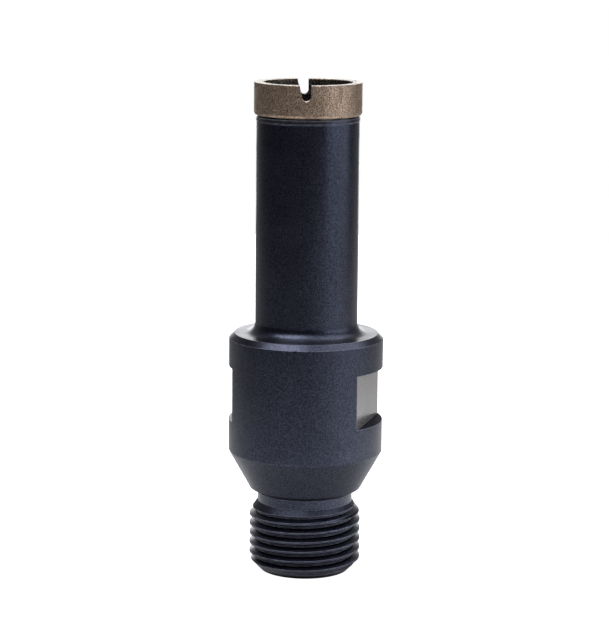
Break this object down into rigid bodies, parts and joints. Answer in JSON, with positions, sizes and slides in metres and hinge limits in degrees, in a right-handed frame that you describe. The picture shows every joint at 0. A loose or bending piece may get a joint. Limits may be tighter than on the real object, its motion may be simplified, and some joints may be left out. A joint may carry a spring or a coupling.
{
  "type": "diamond core bit",
  "caption": "Wet diamond core bit: sintered cutting ring with a waterway slot on a slim steel barrel, hub with wrench flats and a G1/2 external pipe thread.",
  "frame": {"origin": "on the tool's axis at the threaded end face, which the bit stands on", "axes": "+Z along the axis, from the threaded end to the cutting rim; the wrench flats face +X and -X"},
  "size_m": [0.0288, 0.0288, 0.0922],
  "materials": {
    "coated_steel": "satin blue-black coat over turned steel",
    "braze_alloy": "dull heat-darkened silver braze",
    "diamond_matrix": "rough sintered bronze matrix with diamond grit"
  },
  "bodies": {
    "root": {"body": "coated_steel", "braze_seam": "braze_alloy", "diamond_crown": "diamond_matrix"}
  },
  "joints": []
}
